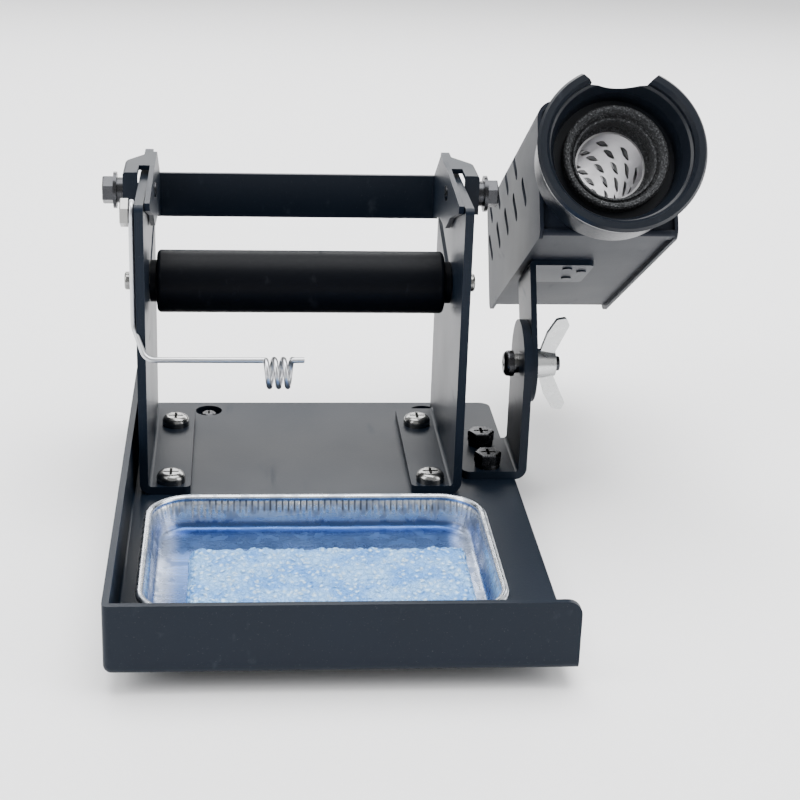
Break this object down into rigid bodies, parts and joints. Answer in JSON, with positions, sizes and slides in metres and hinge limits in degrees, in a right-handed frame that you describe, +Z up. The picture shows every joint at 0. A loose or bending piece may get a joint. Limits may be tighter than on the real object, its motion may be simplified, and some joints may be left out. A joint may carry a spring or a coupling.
{
  "type": "soldering iron stand",
  "caption": "Bench stand for a soldering iron with a tilting perforated holder, a sponge tray, a reel spindle on two arms and a wire guide.",
  "frame": {"origin": "on the bench, under the middle of the stand's outer box, the holder and the bolts included", "axes": "+Z up from the bench, +Y from the sponge tray to the back, +X from the reel arms to the iron holder"},
  "size_m": [0.1876, 0.2354, 0.1488],
  "materials": {
    "painted_steel": "satin",
    "zinc_steel": "gloss",
    "foot_rubber": "matte",
    "black_plastic": "satin",
    "spring_wire": "satin",
    "tray_metal": "gloss",
    "sponge_foam": "matte",
    "grey_fibre": "matte",
    "sleeve_metal": "gloss"
  },
  "bodies": {
    "stand": {"base_tray": "painted_steel", "rubber_feet": "foot_rubber", "foot_screws": "zinc_steel", "left_arm": "painted_steel", "right_arm": "painted_steel", "arm_screws": "zinc_steel", "floor_nuts": "zinc_steel", "holder_bracket": "painted_steel", "bracket_bolts": "zinc_steel", "bracket_spring_washers": "zinc_steel", "keeper_bolts": "zinc_steel", "keeper_springs": "zinc_steel", "keeper_washers": "zinc_steel", "guide_screw": "zinc_steel", "pivot_bolt": "zinc_steel", "pivot_spacer": "zinc_steel", "pivot_washer": "zinc_steel"},
    "keeper": {"reel_keeper": "painted_steel"},
    "spindle": {"spindle_axle": "zinc_steel", "spindle_collars": "zinc_steel"},
    "roller": {"reel_roller": "black_plastic"},
    "guide": {"wire_guide": "spring_wire"},
    "tray": {"sponge_tray": "tray_metal"},
    "pad": {"sponge": "sponge_foam"},
    "holder": {"tilt_bracket": "painted_steel", "tab_rivets": "zinc_steel", "holder_shell": "painted_steel", "holder_floor": "painted_steel", "holder_front": "painted_steel", "bell": "black_plastic", "insulating_ring": "grey_fibre", "inner_sleeve": "sleeve_metal"},
    "wing": {"wing_nut": "zinc_steel"}
  },
  "joints": [
    {"name": "keeper_lift", "type": "hinge", "parent": "stand", "child": "keeper", "pos_m": [-0.02865, 0.03234, 0.101], "axis": [1, 0, 0], "range_deg": [0, 60]},
    {"name": "spindle_slide", "type": "slide", "parent": "stand", "child": "spindle", "axis": [0, 0.9563, 0.2924], "range_m": [0, 0.024]},
    {"name": "roller_spin", "type": "hinge", "parent": "spindle", "child": "roller", "pos_m": [-0.02865, 0.02834, 0.0712], "axis": [1, 0, 0], "continuous": true},
    {"name": "wire_guide_swing", "type": "hinge", "parent": "stand", "child": "guide", "pos_m": [-0.08265, 0.00134, 0.102], "axis": [1, 0, 0], "range_deg": [-70, 0]},
    {"name": "tray_lift", "type": "slide", "parent": "stand", "child": "tray", "axis": [0, 0, 1], "range_m": [0, 0.04]},
    {"name": "sponge_lift", "type": "slide", "parent": "tray", "child": "pad", "axis": [0, 0, 1], "range_m": [0, 0.04]},
    {"name": "holder_tilt", "type": "hinge", "parent": "stand", "child": "holder", "pos_m": [0.0495, 0.02234, 0.0445], "axis": [1, 0, 0], "range_deg": [-25, 30]},
    {"name": "wing_nut_turn", "type": "hinge", "parent": "stand", "child": "wing", "pos_m": [0.0545, 0.02234, 0.0445], "axis": [1, 0, 0], "continuous": true}
  ]
}
